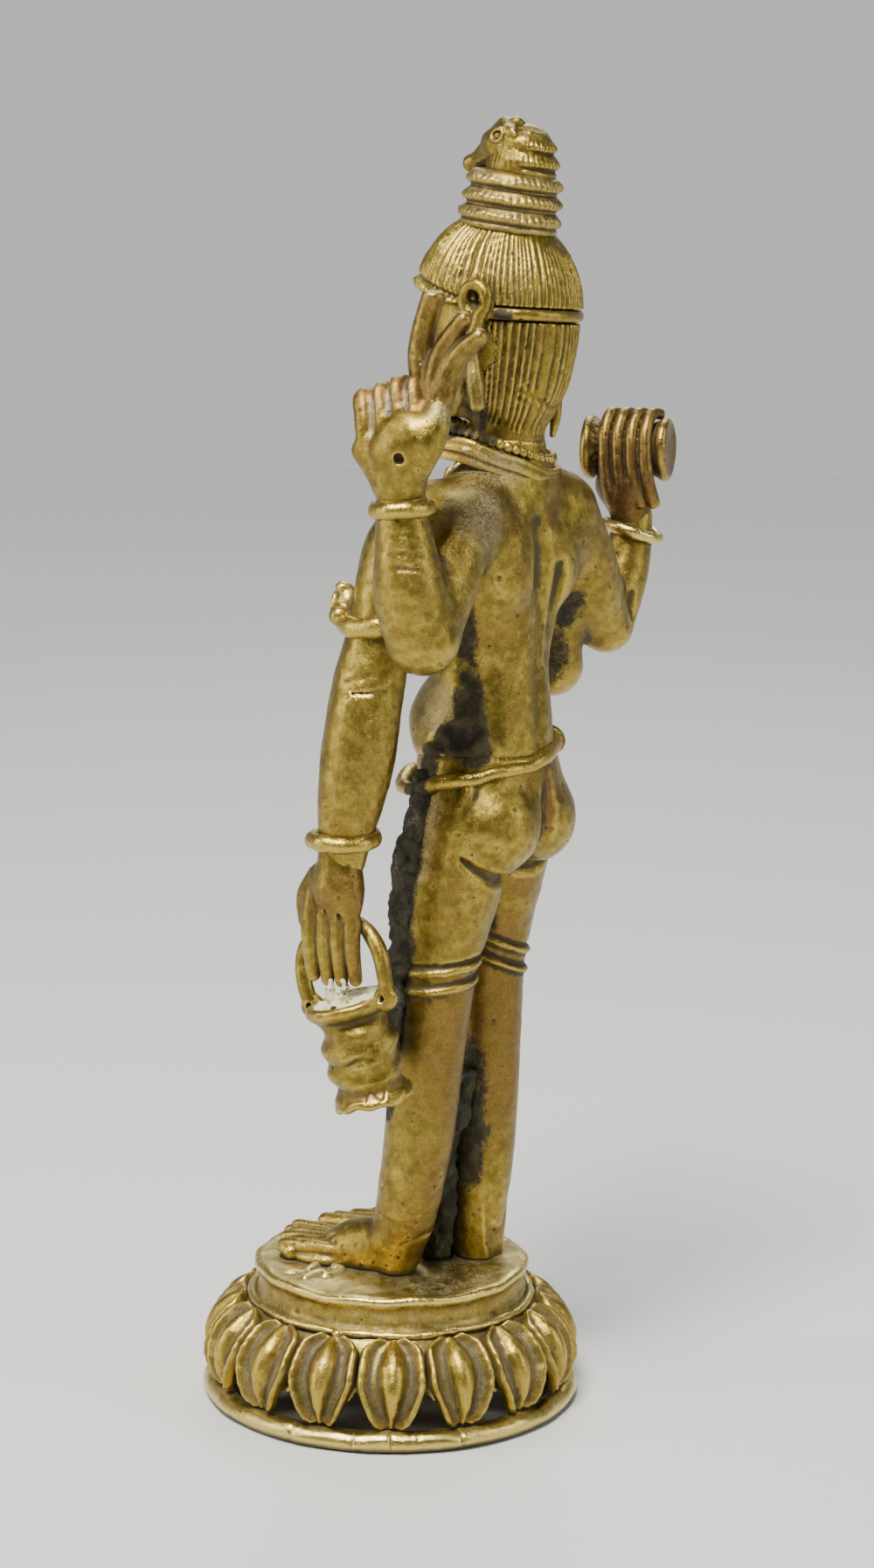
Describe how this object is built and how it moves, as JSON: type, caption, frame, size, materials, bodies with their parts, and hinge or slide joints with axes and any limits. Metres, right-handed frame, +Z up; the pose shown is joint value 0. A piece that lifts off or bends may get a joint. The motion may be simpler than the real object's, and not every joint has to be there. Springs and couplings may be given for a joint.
{
  "type": "standing deity figurine",
  "caption": "Small cast brass figure of a standing multi-armed deity holding a drum, a pronged emblem and a water pot, on a round openwork lotus base",
  "frame": {"origin": "middle of the object's bounding box in X and Y, on the surface it stands on", "axes": "+Z up; the figure faces -Y, its own left side is +X"},
  "size_m": [0.057, 0.0488, 0.1498],
  "materials": {
    "brass_aged": "aged, hand brushed, olive-brown patina",
    "brass_worn": "handled, bright on the high spots",
    "brass_brown": "red-brown patina",
    "casting_crust": "rough black casting crust"
  },
  "bodies": {
    "root": {"base_foot_ring": "brass_worn", "chest_pendant": "brass_aged", "crest_animal_head": "brass_brown", "girdle_wire": "brass_worn", "hair_band": "brass_worn", "hair_cap": "brass_aged", "hand_drum": "brass_brown", "head_and_neck": "brass_aged", "held_three_prong_emblem": "brass_brown", "left_ear": "brass_aged", "left_earring": "brass_brown", "left_front_arm": "brass_worn", "left_front_armlet": "brass_worn", "left_front_armlet_jewel": "brass_worn", "left_front_bangle": "brass_worn", "left_front_hand": "brass_brown", "left_leg": "brass_aged", "left_rear_arm": "brass_aged", "left_rear_bangle": "brass_worn", "left_rear_hand": "brass_aged", "leg_web_crust": "casting_crust", "lotus_petal_01": "brass_aged", "lotus_petal_02": "brass_aged", "lotus_petal_03": "brass_aged", "lotus_petal_04": "brass_aged", "lotus_petal_05": "brass_aged", "lotus_petal_06": "brass_aged", "lotus_petal_07": "brass_aged", "lotus_petal_08": "brass_aged", "lotus_petal_09": "brass_aged", "lotus_petal_10": "brass_aged", "lotus_petal_11": "brass_aged", "lotus_petal_12": "brass_aged", "lotus_petal_13": "brass_aged", "lotus_petal_14": "brass_aged", "lotus_petal_15": "brass_aged", "lotus_petal_16": "brass_aged", "nape_hair": "brass_aged", "necklace_beads": "brass_aged", "necklace_ribbon": "brass_worn", "pelvis": "brass_worn", "petal_collar": "brass_worn", "plinth": "brass_aged", "right_ear": "brass_aged", "right_earring": "brass_brown", "right_front_arm": "brass_aged", "right_front_bangle": "brass_worn", "right_front_hand": "brass_aged", "right_leg": "brass_aged", "right_rear_arm": "brass_aged", "right_rear_bangle": "brass_worn", "right_rear_hand": "brass_brown", "side_crust": "casting_crust", "topknot_band_lower": "brass_worn", "topknot_band_middle": "brass_worn", "topknot_band_upper": "brass_worn", "topknot_dome": "brass_aged", "torso": "brass_aged", "water_pot": "brass_brown", "water_pot_handle": "brass_aged"}
  },
  "joints": []
}
